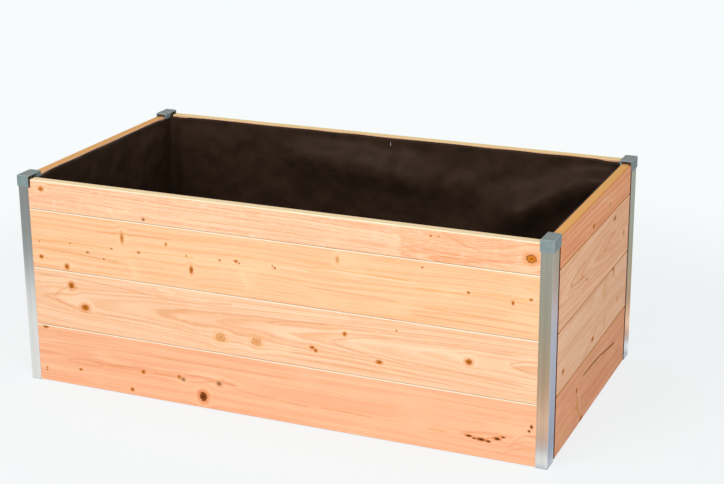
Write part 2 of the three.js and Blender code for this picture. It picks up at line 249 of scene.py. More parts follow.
# early and late are the light and the dark wood of a ring. pith is where the heart of the tree lies, as
# (depth, height) in the board. slope is how much deeper it lies after a metre to the right, wander how far
# it strays, ring the width of a year, and fleck how strongly pale flecks show. joint is where a second
# length is glued on, and beyond says how that one differs. A knot is
# (along, height, half width, half height, kind), and a mark
# (along, height, to along, to height, sag, half width, kind).
boards = {
    "front_board_top": {
        "early": (254, 207, 169), "late": (238, 154, 104), "pith": (52, 158), "slope": -14.0,
        "wander": (8, 16), "ring": 5.2, "seed": 1.0, "fleck": 0.8,
        "joint": 434, "beyond": {"early": (252, 196, 154), "pith": (60, 26), "slope": -46.0},
        "knots": [(-815, 72, 9, 7, "ring"), (-437, 13, 6, 6, "grey"), (530, 79, 4, 3, "dot"),
                  (554, 81, 5, 2, "dot"), (836, 48, 18, 14, "ring"), (640, 122, 70, 34, "hidden")],
        "marks": [(560, 98, 700, 48, -6, 2.2, "vein"), (700, 48, 835, 66, -8, 2.0, "vein"),
                  (440, 44, 800, 26, -5, 1.8, "vein"), (440, 30, 780, 14, -4, 1.6, "vein"),
                  (-800, 88, -590, 80, 2, 1.8, "vein"), (-560, 86, -380, 84, 2, 2.4, "pale"),
                  (-330, 80, -60, 70, 3, 2.6, "pale"), (-30, 76, 260, 70, 3, 2.2, "pale"),
                  (-860, 46, -500, 36, 4, 1.6, "vein"), (-300, 30, 200, 26, 4, 1.6, "vein")],
    },
    "front_board_upper": {
        "early": (254, 204, 160), "late": (242, 170, 112), "pith": (105, -150), "slope": -16.0,
        "wander": (6, 14), "ring": 4.4, "seed": 2.0, "fleck": 0.3,
        "knots": [(-519, 141, 6, 17, "upright"), (-359, 140, 4, 7, "upright"), (-834, 91, 3, 3, "dot"),
                  (-716, 99, 3, 3, "dot"), (-651, 76, 6, 4, "dot"), (-560, 100, 4, 3, "dot"),
                  (-460, 100, 6, 4, "dot"), (-591, 61, 4, 3, "dot"), (-830, 39, 7, 6, "dark"),
                  (-733, 17, 8, 9, "dark"), (-271, 66, 6, 12, "dark"), (-287, 111, 3, 3, "dot"),
                  (-169, 112, 5, 3, "dot"), (-112, 116, 6, 4, "dark"), (-101, 111, 4, 3, "dot"),
                  (13, 118, 3, 3, "dot"), (21, 112, 4, 4, "dot"), (231, 166, 6, 11, "faint"),
                  (504, 178, 4, 3, "dot"), (648, 119, 4, 4, "dark"), (784, 106, 4, 6, "dark"),
                  (838, 124, 4, 4, "dark")],
        "marks": [(140, 133, 480, 130, 1, 1.8, "gold"), (150, 128, 500, 124, 1, 2.6, "pale"),
                  (-10, 118, 140, 114, 2, 3.0, "pale"), (480, 112, 640, 114, -1, 2.0, "gold"),
                  (640, 122, 850, 120, 1, 1.8, "gold"), (-860, 96, -540, 100, 3, 1.8, "gold"),
                  (-500, 100, -250, 108, 2, 1.8, "gold"), (-500, 70, -470, 8, 6, 14.0, "soft"),
                  (-100, 90, -64, 30, -4, 10.0, "soft"), (-860, 70, -520, 54, 4, 3.0, "vein"),
                  (500, 52, 860, 44, 2, 2.6, "vein"), (460, 26, 860, 20, 1, 2.2, "vein"),
                  (-620, 150, -330, 156, 4, 2.4, "vein"), (120, 66, 440, 58, 2, 2.0, "vein")],
    },
    "front_board_lower": {
        "early": (252, 207, 170), "late": (234, 166, 112), "pith": (80, 106), "slope": -24.0,
        "wander": (6, 7), "ring": 5.6, "seed": 3.4, "fleck": 0.35,
        "knots": [(-720, 152, 11, 11, "dark"), (-702, 147, 3, 3, "dot"), (-672, 83, 15, 11, "dark"),
                  (-175, 54, 19, 15, "faint"), (-48, 58, 19, 15, "faint"), (143, 69, 8, 5, "dark"),
                  (155, 61, 6, 5, "dark"), (253, 130, 6, 6, "dark"), (366, 56, 10, 6, "dark"),
                  (422, 166, 3, 3, "dot"), (652, 102, 11, 9, "dark")],
        "marks": [(-790, 103, -722, 150, 7, 3.0, "vein"), (-790, 103, -640, 62, -9, 2.6, "vein"),
                  (202, 98, 420, 134, 10, 2.8, "vein"), (202, 98, 460, 64, -9, 2.4, "vein"),
                  (420, 134, 800, 142, 5, 2.2, "vein"), (777, 114, 862, 132, 5, 2.4, "vein"),
                  (777, 114, 862, 92, -4, 2.2, "vein"), (-860, 176, -420, 158, 9, 2.6, "vein"),
                  (-420, 158, -120, 172, -6, 2.2, "vein"), (-640, 62, -300, 60, 8, 2.2, "vein"),
                  (40, 40, 500, 34, 6, 1.8, "vein"), (120, 22, 620, 18, 4, 1.6, "vein"),
                  (460, 64, 840, 50, 3, 1.8, "vein"), (-20, 126, 200, 150, 8, 2.0, "vein"),
                  (-400, 186, -330, 178, 0, 4.0, "pale"), (250, 112, 640, 118, 4, 7.0, "pale")],
    },
    "front_board_bottom": {
        "early": (252, 194, 154), "late": (238, 158, 114), "pith": (74, 96), "slope": 0.0,
        "wander": (3, 5), "ring": 3.7, "seed": 4.7, "fleck": 0.15,
        "knots": [(-831, 192, 10, 5, "dark"), (-837, 46, 4, 3, "dot"), (-837, 37, 4, 3, "dot"),
                  (-704, 59, 6, 4, "dark"), (-464, 89, 7, 6, "dark"), (-330, 93, 7, 6, "dark"),
                  (-316, 87, 8, 6, "grey"), (-509, 20, 7, 6, "dark"), (-245, 39, 14, 17, "core"),
                  (-186, 93, 10, 8, "grey"), (849, 127, 4, 6, "core"), (842, 112, 4, 4, "core"),
                  (655, 64, 11, 4, "split"), (672, 59, 8, 3, "split"), (694, 59, 15, 5, "split"),
                  (716, 57, 9, 4, "split"), (744, 70, 11, 5, "split"), (762, 78, 7, 3, "split")],
        "marks": [(-755, 88, -608, 88, 9, 2.2, "vein"), (-755, 88, -608, 88, -9, 2.0, "vein"),
                  (-608, 88, -440, 96, 5, 2.2, "vein"), (-430, 92, -300, 100, -6, 3.0, "vein"),
                  (-330, 82, -160, 112, -7, 4.0, "vein"), (-300, 104, -120, 92, 8, 3.0, "vein"),
                  (-150, 88, 140, 68, -5, 2.4, "vein"), (20, 72, 130, 66, 2, 2.6, "vein"),
                  (160, 70, 350, 68, 2, 2.6, "vein"), (525, 65, 585, 62, 1, 2.6, "gold"),
                  (620, 66, 800, 82, 8, 4.5, "vein"), (640, 64, 716, 60, 3, 1.6, "stripe"),
                  (706, 60, 776, 80, 5, 1.6, "stripe"), (-262, 60, -228, 18, -4, 5.0, "vein"),
                  (790, 60, 862, 98, 12, 2.0, "vein"), (770, 40, 862, 76, 12, 2.0, "vein"),
                  (760, 20, 862, 52, 12, 2.0, "vein"), (-860, 140, 100, 150, 4, 2.0, "vein")],
    },
    "right_board_top": {
        "early": (251, 182, 138), "late": (230, 138, 90), "pith": (96, -70), "slope": 14.0,
        "wander": (8, 10), "ring": 5.6, "seed": 5.1, "fleck": 0.2,
        "knots": [(-45, 22, 10, 7, "dark"), (150, 34, 12, 8, "faint")],
        "marks": [(-420, 60, -60, 64, 3, 2.6, "vein"), (-420, 46, -80, 44, 3, 2.6, "vein"),
                  (-420, 30, -120, 26, 2, 2.6, "vein"), (-420, 20, 400, 10, 2, 5.0, "vein"),
                  (-420, 80, 300, 84, 3, 2.0, "vein"), (-260, 72, 200, 70, 2, 2.0, "pale")],
    },
    "right_board_upper": {
        "early": (251, 199, 162), "late": (236, 164, 116), "pith": (78, 104), "slope": -34.0,
        "wander": (7, 8), "ring": 5.4, "seed": 6.6, "fleck": 0.3,
        "knots": [(219, 169, 18, 8, "grey"), (341, 82, 15, 11, "faint"), (-104, 68, 9, 4, "grey")],
        "marks": [(-296, 108, -120, 134, 8, 2.8, "stripe"), (-296, 108, -130, 92, -6, 2.8, "stripe"),
                  (-420, 76, -110, 73, 1, 1.8, "vein"), (-130, 92, 130, 90, 3, 2.2, "vein"),
                  (160, 122, 300, 104, 6, 4.0, "vein"), (150, 128, 175, 96, -6, 3.0, "vein"),
                  (240, 116, 325, 90, 5, 2.4, "pale"), (-120, 134, 160, 150, 5, 2.2, "vein"),
                  (-180, 50, 240, 46, 3, 2.4, "vein")],
    },
    "right_board_lower": {
        "early": (248, 201, 166), "late": (236, 170, 128), "pith": (118, 176), "slope": 12.0,
        "wander": (8, 8), "ring": 5.2, "seed": 7.3, "fleck": 0.4,
        "knots": [(225, 195, 11, 9, "core"), (228, 176, 9, 12, "faint"), (-10, 36, 13, 7, "dark"),
                  (-340, 55, 9, 8, "dark"), (292, 68, 11, 9, "faint"), (130, 48, 18, 15, "stain"),
                  (120, 150, 26, 26, "stain")],
        "marks": [(-132, 9, 4, 44, 5, 2.6, "stripe"), (-120, 6, 16, 34, 3, 2.2, "stripe"),
                  (-122, 10, -16, 36, 3, 3.0, "light"), (-20, 32, 34, 62, 2, 3.0, "stripe"),
                  (-160, 84, 380, 88, 3, 2.4, "vein"), (-420, 182, 200, 188, 2, 3.0, "vein"),
                  (-380, 120, 60, 112, 4, 2.2, "vein")],
    },
    "right_board_bottom": {
        "early": (240, 176, 136), "late": (222, 142, 98), "pith": (92, -20), "slope": -8.0,
        "wander": (8, 10), "ring": 4.8, "seed": 8.9, "fleck": 0.3,
        "knots": [(-180, 128, 9, 8, "dark"), (-118, 8, 15, 8, "dark"), (-310, 40, 34, 20, "stain"),
                  (-170, 66, 12, 12, "faint")],
        "marks": [(-114, 149, 100, 140, 2, 3.0, "crack"), (90, 141, 286, 116, -3, 3.2, "crack"),
                  # the gold mark beside the cracks is a painted highlight on their lips
                  (-90, 143, 280, 110, 6, 2.6, "gold"), (-186, 134, -118, 12, -10, 3.4, "stripe"),
                  (-160, 112, -140, 30, 14, 3.0, "light"),
                  (-420, 72, -40, 80, 3, 4.0, "vein"), (-80, 60, 380, 66, 4, 5.0, "vein"),
                  (-420, 30, 60, 26, 3, 3.0, "vein"), (60, 24, 400, 34, 2, 3.0, "vein")],
    },
    "back_board_top": {
        "early": (253, 202, 162), "late": (238, 160, 112), "pith": (84, 130), "slope": 18.0,
        "wander": (8, 14), "ring": 4.8, "seed": 9.2, "fleck": 0.5,
        "knots": [(-610, 60, 10, 8, "ring"), (120, 30, 6, 5, "dark"), (540, 70, 8, 7, "faint")],
        "marks": [(-420, 30, 60, 40, 6, 2.0, "vein"), (200, 76, 700, 66, 6, 2.0, "vein")],
    },
    "back_board_upper": {
        "early": (253, 209, 165), "late": (237, 172, 116), "pith": (76, 112), "slope": 26.0,
        "wander": (8, 8), "ring": 5.4, "seed": 10.5, "fleck": 0.3,
        "knots": [(-700, 90, 13, 11, "dark"), (-260, 140, 7, 6, "dark"), (210, 60, 17, 14, "faint"),
                  (610, 120, 12, 10, "ring"), (420, 30, 4, 4, "dot")],
        "marks": [(-640, 112, -300, 84, -8, 2.4, "vein"), (100, 134, 500, 150, 8, 2.2, "vein")],
    },
    "back_board_lower": {
        "early": (252, 192, 152), "late": (237, 152, 106), "pith": (88, 84), "slope": -10.0,
        "wander": (8, 9), "ring": 4.0, "seed": 11.8, "fleck": 0.2,
        "knots": [(-480, 60, 9, 9, "dark"), (-450, 150, 4, 4, "dot"), (30, 100, 17, 14, "ring"),
                  (530, 50, 8, 7, "core"), (760, 140, 11, 9, "faint")],
        "marks": [(-820, 96, -540, 92, 8, 2.2, "vein"), (120, 90, 480, 84, -6, 2.4, "vein")],
    },
    "back_board_bottom": {
        "early": (254, 210, 160), "late": (240, 174, 110), "pith": (96, -80), "slope": 14.0,
        "wander": (6, 14), "ring": 4.2, "seed": 12.3, "fleck": 0.3,
        "knots": [(-780, 120, 6, 7, "dark"), (-560, 40, 4, 4, "dot"), (-200, 110, 6, 14, "upright"),
                  (140, 70, 6, 5, "dark"), (330, 150, 4, 4, "dot"), (690, 90, 10, 9, "ring")],
        "marks": [(-500, 88, 40, 80, 5, 2.4, "gold"), (260, 110, 640, 102, 4, 2.2, "vein")],
    },
    "left_board_top": {
        "early": (253, 206, 168), "late": (239, 164, 116), "pith": (84, 140), "slope": -16.0,
        "wander": (8, 12), "ring": 5.0, "seed": 13.4, "fleck": 0.4,
        "knots": [(-180, 40, 9, 8, "ring"), (250, 70, 4, 4, "dot")],
        "marks": [(-60, 60, 330, 44, 5, 2.2, "vein")],
    },
    "left_board_upper": {
        "early": (252, 194, 155), "late": (236, 152, 108), "pith": (84, 70), "slope": 22.0,
        "wander": (8, 8), "ring": 4.4, "seed": 14.1, "fleck": 0.2,
        "knots": [(-300, 130, 8, 7, "dark"), (60, 90, 15, 13, "ring"), (330, 40, 5, 5, "dot")],
        "marks": [(-240, 96, 20, 70, -8, 2.4, "vein"), (100, 110, 360, 120, 6, 2.2, "vein")],
    },
    "left_board_lower": {
        "early": (253, 211, 168), "late": (236, 172, 114), "pith": (72, 104), "slope": -28.0,
        "wander": (8, 7), "ring": 5.4, "seed": 15.7, "fleck": 0.3,
        "knots": [(-210, 60, 13, 11, "dark"), (110, 150, 7, 6, "dark"), (290, 90, 17, 14, "faint")],
        "marks": [(-380, 96, -220, 76, 6, 2.4, "vein"), (-20, 100, 240, 128, 9, 2.4, "vein")],
    },
    "left_board_bottom": {
        "early": (252, 198, 158), "late": (237, 158, 112), "pith": (90, 158), "slope": 12.0,
        "wander": (8, 10), "ring": 4.6, "seed": 16.2, "fleck": 0.3,
        "knots": [(-340, 110, 6, 6, "dark"), (-90, 50, 7, 15, "upright"), (200, 120, 10, 9, "ring")],
        "marks": [(-260, 62, 180, 56, 5, 2.2, "vein")],
    },
}

# How each kind of knot is coloured: its middle, its rim, its heart, the stained wood round it, and how
# strongly it shows. bend is the share by which the grain gives way round it. A hidden knot only bends it.
knotKinds = {
    "ring": {"middle": (214, 126, 26), "rim": (132, 66, 10), "heart": (170, 90, 16),
             "stain": (240, 158, 96), "show": 0.95, "bend": 0.8},
    "dark": {"middle": (204, 114, 14), "rim": (140, 70, 8), "heart": (96, 42, 2),
             "stain": (234, 150, 80), "show": 0.95, "bend": 0.75},
    "core": {"middle": (128, 64, 10), "rim": (84, 38, 4), "heart": (46, 20, 2),
             "stain": (226, 132, 62), "show": 0.95, "bend": 0.7},
    "grey": {"middle": (166, 124, 92), "rim": (130, 86, 58), "heart": (92, 58, 38),
             "stain": (236, 176, 128), "show": 0.85, "bend": 0.7},
    "faint": {"middle": (226, 158, 88), "rim": (202, 128, 66), "heart": (190, 112, 52),
              "stain": (244, 184, 124), "show": 0.7, "bend": 0.7},
    "upright": {"middle": (222, 134, 40), "rim": (184, 100, 24), "heart": (140, 70, 8),
                "stain": (240, 172, 110), "show": 0.85, "bend": 0.5},
    "dot": {"middle": (176, 92, 12), "rim": (204, 120, 40), "heart": (110, 48, 4),
            "stain": (238, 170, 112), "show": 0.85, "bend": 0.0},
    "stain": {"middle": (234, 176, 128), "rim": (234, 176, 128), "heart": (226, 164, 112),
              "stain": (240, 186, 140), "show": 0.5, "bend": 0.35},
    "split": {"middle": (92, 40, 6), "rim": (190, 106, 34), "heart": (34, 14, 2),
              "stain": (230, 142, 76), "show": 0.95, "bend": 0.35},
    "hidden": {"bend": 0.55},
}
markKinds = {
    "vein": {"colour": (220, 132, 70), "show": 0.42},
    # gold is golden grain, and beside the cracks of right_board_bottom a painted highlight on their lips
    "gold": {"colour": (232, 166, 72), "show": 0.6},
    "pale": {"colour": (255, 230, 196), "show": 0.5},
    "soft": {"colour": (255, 222, 178), "show": 0.35},
    "light": {"colour": (252, 218, 184), "show": 0.9},
    "stripe": {"colour": (206, 122, 54), "show": 0.7},
    "crack": {"colour": (70, 26, 2), "show": 1.0},
}

# Painted light on each wall's boards: tones of its top face, its upper arris and the edge over a joint are
# painted highlight, and of the edge under a joint painted shade
edgeTones = {
    "front": {"top": (255, 228, 182), "arris": (255, 246, 212), "joint": (255, 250, 226),
              "under": (150, 74, 20)},
    "back": {"top": (255, 224, 160), "arris": (255, 238, 184), "joint": (255, 218, 152),
             "under": (150, 74, 20)},
    "right": {"top": (240, 178, 104), "arris": (224, 150, 86), "joint": (206, 140, 70),
              "under": (134, 78, 40)},
    "left": {"top": (236, 176, 104), "arris": (226, 160, 98), "joint": (250, 220, 176),
             "under": (130, 80, 44)},
}
timber = {
    "jointGap": 0.4,  # between the boards
    "chamfer": 2.2,
    "highlightBand": 1.6,  # the painted highlight starts this far below the chamfer
    "underFade": 0.8, "topFade": (0.3, 0.1),
    "arrisHighlightShow": 0.9, "underShow": 0.85, "topShow": 0.95,
    "insideDepth": (8.0, 6.0),  # edge tones fade out between these depths
    "topLine": (2.2, 0.8), "topLineShow": 0.8,  # half width of the painted highlight line along the top face
    "seedStep": 37.0,
    "ringShow": 0.66, "faintestRing": 0.3,
    "ringStart": (0.3, 0.85), "ringEnd": (1.0, 0.88),  # shares of a year at which late wood begins and ends
    # lengths of the noises along, up and through the board
    "wanderSize": (520.0, 900.0, 900.0), "tremorSize": (300.0, 24.0, 24.0), "patchSize": (190.0, 70.0, 60.0),
    "fleckSize": (34.0, 1.7, 1.7), "streakSize": (640.0, 9.0), "raggedSize": 5.0,
    "fibreLength": 24.0, "fibreSize": (0.9, 0.9, 0.9), "wanderReach": 2.4, "tremorReach": 5.0,
    # where a noise begins and is full, and how strongly it shows
    "broadStreak": (0.42, 0.68, 0.75), "palePatch": (0.5, 0.72, 0.55), "paleStreak": (0.46, 0.3, 0.5),
    "fibreShade": (0.5, 0.8, 0.2), "paleFleck": (0.58, 0.7, 0.8),
    "streakTone": 0.6, "paler": 12, "fleckTone": (255, 236, 214),
    "fingerPitch": 9.0, "fingerReach": 5.0, "fingerBlur": 0.4, "fingerShow": 0.6,
    "grooveStart": 411.0,  # from the middle of a short wall, where its boards step back behind the legs
    # the groove's tone is painted shade in the recess beside the posts' legs
    "grooveEdge": (4.6, 3.0), "grooveShadeTone": (104, 46, 12),
    "rebateDepth": (0.2, 0.4), "rebateStart": (20.0, 10.0),
    "toothPitch": 7.0, "toothReach": 1.3,  # of the saw along the groove
    "ringLift": 0.6, "fibreLift": 0.5, "knotLift": 0.2, "bumpHeight": 0.00012,
    "roughness": 0.52, "fibreRoughness": 0.16, "ringRoughness": 0.08, "gloss": 0.04,
}
knotLook = {  # distances in half sizes of the knot
    "ragged": 0.75, "body": (1.02, 0.78), "rim": (0.6, 0.9), "heart": (0.42, 0.15),
    "circles": 10.0, "circleStart": (0.2, 0.5), "circleShow": 0.4,
    "halo": (3.2, 2.0), "haloInner": (1.3, 1.9), "haloShow": 0.16,
    "stain": (2.1, 1.0), "stainShow": 0.6, "bendFall": -0.14,
}
markLook = {"edge": (1.7, 0.1), "taper": (0.0, 0.3), "ragged": 1.6, "fade": 0.5, "least": 0.9}


# Distance to each kind of knot in its own half sizes, and how far the grain is pushed aside
def knotFields(g, spot, knots):
    nearest, bend = {}, 0.0
    for place, rise, halfWidth, halfHeight, kind in knots:
        scale = (1 / halfWidth, 1 / halfHeight, 0.0)
        offset = (-place / halfWidth, -rise / halfHeight, 0.0)
        gap = g.add("ShaderNodeVectorMath", {"operation": "MULTIPLY_ADD"}, [spot, scale, offset])
        reach = g.add("ShaderNodeVectorMath", {"operation": "LENGTH"}, [gap]).output("Value")
        if kind != "hidden":
            nearest[kind] = nearest[kind].calc("MINIMUM", reach) if kind in nearest else reach
        give = knotKinds[kind]["bend"]
        if give:
            above = g.add("ShaderNodeSeparateXYZ", {}, [gap]).output("Y")
            push = (reach * reach * knotLook["bendFall"]).calc("EXPONENT")
            bend = bend + above * push * (-give * halfHeight)
    return nearest, bend


# Each mark is a bow from one point to another, thin at its ends: its mask falls with the distance from it
def markFields(g, spot, marks, fray):
    masks = {}
    blurred, crisp = markLook["edge"]
    for place, rise, toPlace, toRise, sag, half, kind in marks:
        run = Vector((toPlace - place, toRise - rise, 0.0))
        start = Vector((place, rise, 0.0))
        ahead = run / run.length_squared
        aside = Vector((-run.y, run.x, 0.0)) / run.length
        share = g.add("ShaderNodeVectorMath", {"operation": "DOT_PRODUCT"}, [spot, ahead]).output("Value")
        off = g.add("ShaderNodeVectorMath", {"operation": "DOT_PRODUCT"}, [spot, aside]).output("Value")
        share = (share - start.dot(ahead)).held()
        bow = share * (1 - share) * 4.0
        off = (off - start.dot(aside) - bow * sag).size() + fray * half
        mask = off.edge(half * blurred, half * crisp) * bow.edge(*markLook["taper"])
        masks[kind] = masks[kind].calc("MAXIMUM", mask) if kind in masks else mask
    worn = (fray * markLook["fade"] + markLook["least"]).held()
    return {kind: mask * worn for kind, mask in masks.items()}


# A board's lower edge and how tall it shows. A tongue reaches up into the next board, so that one's lower
# edge gives its upper edge.
def boardReach(name, wall, level):
    low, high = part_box(name)
    foot = 1000 * low[2]
    higher = levels[levels.index(level) + 1:]
    if not higher:
        return foot, 1000 * high[2] - foot
    return foot, 1000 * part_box(f"{wall}_board_{higher[0]}")[0][2] - foot - timber["jointGap"]


# Where the heart of the tree lies. Beyond a glued finger joint it is that of another piece of wood.
def findHeart(spec, along, height):
    depth, rise = spec["pith"]
    slope = spec["slope"]
    if "joint" not in spec:
        return 0.0, depth, rise, slope
    other = spec["beyond"]
    blur = timber["fingerBlur"]
    fingers = height.wave(timber["fingerPitch"], timber["fingerReach"])
    beyond = (fingers + along - spec["joint"]).edge(-blur, blur)
    depth = beyond * (other["pith"][0] - depth) + depth
    rise = beyond * (other["pith"][1] - rise) + rise
    slope = beyond * (other["slope"] - slope) + slope
    return beyond, depth, rise, slope


# Rings round the heart: a slow darkening through each year's wood and a sharp end to it
def ringField(g, radius, ringWidth):
    years = radius / ringWidth
    year = years.calc("FLOOR")
    season = years - year
    dark = season.edge(*timber["ringStart"]) * season.edge(*timber["ringEnd"])
    strength = g.add("ShaderNodeTexWhiteNoise", {"noise_dimensions": "1D"}, {"W": year})
    least = timber["faintestRing"]
    return dark * (least + strength * (1 - least))


# Knots: a pale halo and stained wood round them, an uneven rim, circles inside and a dark heart
def paintKnots(g, colour, nearest, ragged, paleTone):
    knotty = 0.0
    for kind, near in nearest.items():
        look = knotKinds[kind]
        reach = near + ragged * knotLook["ragged"]
        halo = near.edge(*knotLook["halo"]) * near.edge(*knotLook["haloInner"])
        colour = g.mix(halo * (knotLook["haloShow"] * look["show"]), colour, paleTone)
        stained = near.edge(*knotLook["stain"]) * (knotLook["stainShow"] * look["show"])
        colour = g.mix(stained, colour, tone(*look["stain"]))
        inside = reach.edge(*knotLook["body"])
        circles = (near * knotLook["circles"]).calc("SINE") * 0.5 + 0.5
        circles = circles * near.edge(*knotLook["circleStart"])
        body = g.mix(circles * knotLook["circleShow"], tone(*look["middle"]), tone(*look["rim"]))
        body = g.mix(reach.edge(*knotLook["rim"]), body, tone(*look["rim"]))
        body = g.mix(near.edge(*knotLook["heart"]), body, tone(*look["heart"]))
        colour = g.mix(inside * look["show"], colour, body)
        knotty = inside + knotty
    return colour, knotty


# Painted light on the boards' edges: a painted highlight on the upper arrises and top faces, and painted
# shade on the arris under each joint
def paintEdges(g, colour, level, edges, tall, height, depth, outside):
    bevel = timber["chamfer"]
    # painted highlight on the upper chamfer and a band below it
    crest = height.edge(tall - bevel - timber["highlightBand"], tall - bevel) * outside
    colour = g.mix(crest * timber["arrisHighlightShow"], colour, tone(*edges["arris" if level == "top" else "joint"]))
    if level != "bottom":
        # painted shade on the lower chamfer, under the joint
        under = height.edge(bevel, bevel - timber["underFade"]) * outside * timber["underShow"]
        colour = g.mix(under, colour, tone(*edges["under"]))
    if level == "top":
        # painted highlight: the top face is painted lighter, with a bright line along its outer arris
        face = height.edge(*[tall - reach for reach in timber["topFade"]])
        colour = g.mix(face * timber["topShow"], colour, tone(*edges["top"]))
        line = face * (depth - bevel).size().edge(*timber["topLine"])
        colour = g.mix(line * timber["topLineShow"], colour, tone(*edges["arris"]))
    return colour


# Painted shade: a dark tone on the floor and far wall of the recess where the short walls' boards step back
# behind the posts' legs, its edge toothed like saw marks
def paintGrooveShade(g, colour, along, height, depth, outside):
    teeth = height.wave(timber["toothPitch"], timber["toothReach"])
    rebateStart = [timber["grooveStart"] - reach for reach in timber["rebateStart"]]
    farWallStart = [timber["grooveStart"] - reach for reach in timber["grooveEdge"]]
    rebate = depth.edge(*timber["rebateDepth"]) * along.size().edge(*rebateStart)
    farWallShade = (along.size() + teeth).edge(*farWallStart)
    return g.mix(rebate.calc("MAXIMUM", farWallShade) * outside, colour, tone(*timber["grooveShadeTone"]))


def larchMaterial(name, spec):
    wall, _, level = name.split("_")
    foot, tall = boardReach(name, wall, level)
    material, g = newMaterial(name + "_larch")
    x, y, z = g.millimetres()
    along, depth = wallViews[wall](x, y)
    height = z - foot
    place = (along, height, depth)
    seed = spec["seed"] * timber["seedStep"]
    lengthSeed, heightSeed = (seed, 0.0, 0.0), (0.0, seed, 0.0)
    outside = depth.edge(*timber["insideDepth"])

    # the heart of the tree wanders slowly along the board
    beyond, heartDepth, heartHeight, heartSlope = findHeart(spec, along, height)
    slow = g.grain(place, timber["wanderSize"], 1.0, seeds=lengthSeed)
    wander = g.add("ShaderNodeSeparateColor", {}, [slow.output("Color")])
    strayDepth, strayHeight = (timber["wanderReach"] * reach for reach in spec["wander"])
    heartDepth = heartDepth + along * heartSlope / 1000.0 + (wander.output("Red") - 0.5) * strayDepth
    heartHeight = heartHeight + (wander.output("Green") - 0.5) * strayHeight

    # knots and marks, with uneven edges
    grit = timber["raggedSize"]
    ragged = g.noise(g.vector(along / grit, height / grit, seed), 2.0) - 0.5
    tremor = g.grain(place, timber["tremorSize"], 2.0, seeds=lengthSeed) - 0.5
    tremor = tremor * timber["tremorReach"]
    nearest, bend = knotFields(g, g.vector(along, height, 0.0), spec["knots"])
    spot = g.vector(along, height + tremor, 0.0)
    masks = markFields(g, spot, spec["marks"], ragged * markLook["ragged"])

    # rings, then fibres, short flecks, broad streaks along the rings, and patches
    up = height + bend - heartHeight
    inward = depth - heartDepth
    radius = distance(up, inward) + tremor
    dark = ringField(g, radius, spec["ring"])
    fibre = g.grain((along / timber["fibreLength"], height, depth), timber["fibreSize"], 2.0, 0.6)
    fleck = g.grain(place, timber["fleckSize"], 1.0, seeds=lengthSeed)
    streakLength, streakWidth = timber["streakSize"]
    streak = g.noise(g.vector(along / streakLength + seed, radius / streakWidth, 0.0), 2.0)
    patch = g.grain(place, timber["patchSize"], 2.0, seeds=heightSeed)

    earlyTone, lateTone = tone(*spec["early"]), tone(*spec["late"])
    paleTone = tone(*[min(255, c + timber["paler"]) for c in spec["early"]])
    if "joint" in spec:
        earlyTone = g.mix(beyond, earlyTone, tone(*spec["beyond"]["early"]))
    streakTone = g.mix(timber["streakTone"], earlyTone, lateTone)
    colour = g.mix(streak.shown(*timber["broadStreak"]), earlyTone, streakTone)
    colour = g.mix(patch.shown(*timber["palePatch"]), colour, paleTone)
    colour = g.mix(streak.shown(*timber["paleStreak"]), colour, paleTone)
    colour = g.mix(dark * timber["ringShow"], colour, lateTone)
    colour = g.mix(fibre.shown(*timber["fibreShade"]), colour, lateTone)
    begins, full, share = timber["paleFleck"]
    colour = g.mix(fleck.shown(begins, full, share * spec["fleck"]), colour, tone(*timber["fleckTone"]))
    for kind, mask in masks.items():
        colour = g.mix(mask * markKinds[kind]["show"], colour, tone(*markKinds[kind]["colour"]))
    colour, knotty = paintKnots(g, colour, nearest, ragged, paleTone)
    colour = paintEdges(g, colour, level, edgeTones[wall], tall, height, depth, outside)
    if "joint" in spec:
        glueLine = (beyond * (1 - beyond) * 4.0).held() * timber["fingerShow"]
        colour = g.mix(glueLine, colour, lateTone)
    # painted shade in the recess beside the posts' legs
    if wall in ("left", "right"):
        colour = paintGrooveShade(g, colour, along, height, depth, outside)

    lift = dark * timber["ringLift"] + fibre * timber["fibreLift"] - knotty * timber["knotLift"]
    roughness = timber["roughness"] + fibre * timber["fibreRoughness"] - dark * timber["ringRoughness"]
    g.surface({"Base Color": colour, "Roughness": roughness,
               "Normal": g.bump(lift, 0.5, timber["bumpHeight"]), "Specular IOR Level": timber["gloss"]})
    return material


for name, spec in boards.items():
    dress(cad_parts[name], larchMaterial(name, spec))
print("boards grained:", len(boards))


# Posts: extruded metal with fine lines drawn along it, and a painted highlight along the arrises.
# Millimetres.
post = {"colour": (234, 233, 230), "shade": (214, 214, 211), "bright": (250, 250, 248),
        "lineSize": (0.5, 0.5, 900.0), "bandSize": (7.0, 7.0, 900.0), "cloudSize": (30.0, 30.0, 160.0),
        "lineShade": (0.35, 0.7, 0.45), "bandShade": (0.35, 0.65, 0.35), "cloudShade": 0.2,
        "roughness": 0.17, "lineRoughness": 0.1, "cloudRoughness": 0.06, "bumpHeight": 0.00004,
        "frontLeg": 36.6, "sideLeg": 62.0, "arris": (1.6, 0.5), "skin": (2.0, 1.0), "arrisHighlightShow": 0.75}
postHalfX, postHalfY = (1000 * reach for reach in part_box("back_right_post")[1][:2])  # to its outer faces


